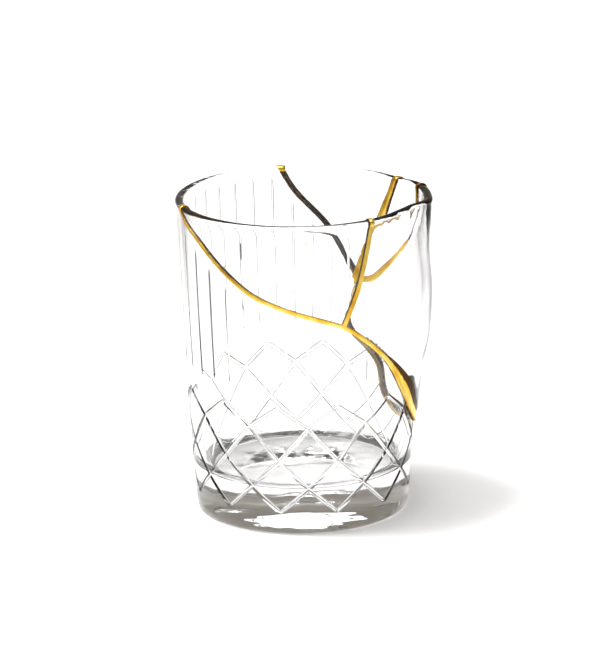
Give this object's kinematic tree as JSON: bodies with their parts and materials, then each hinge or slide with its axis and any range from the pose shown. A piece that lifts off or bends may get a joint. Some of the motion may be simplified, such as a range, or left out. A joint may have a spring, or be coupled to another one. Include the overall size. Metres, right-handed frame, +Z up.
{
  "type": "kintsugi tumbler",
  "caption": "Clear glass drinking tumbler joined from cut and smooth shards, with raised gold repair seams right through its wall.",
  "frame": {"origin": "on the surface it stands on, under the middle of the whole width; the round wall's axis is 2 mm to the -X side of it", "axes": "+Z up through the open top, -Y the front with the long gold seam, +X the swollen smooth side"},
  "size_m": [0.0842, 0.0809, 0.1054],
  "materials": {
    "cut_glass": "clear, polished, with cut grooves",
    "smooth_glass": "clear, polished",
    "gold": "gold laid over the joint, slightly uneven"
  },
  "bodies": {
    "root": {"cut_glass_body": "cut_glass", "cut_glass_front_shard": "cut_glass", "smooth_glass_side_shard": "smooth_glass", "smooth_glass_wedge_shard": "smooth_glass", "smooth_glass_back_shard": "smooth_glass", "gold_seams": "gold"}
  },
  "joints": []
}
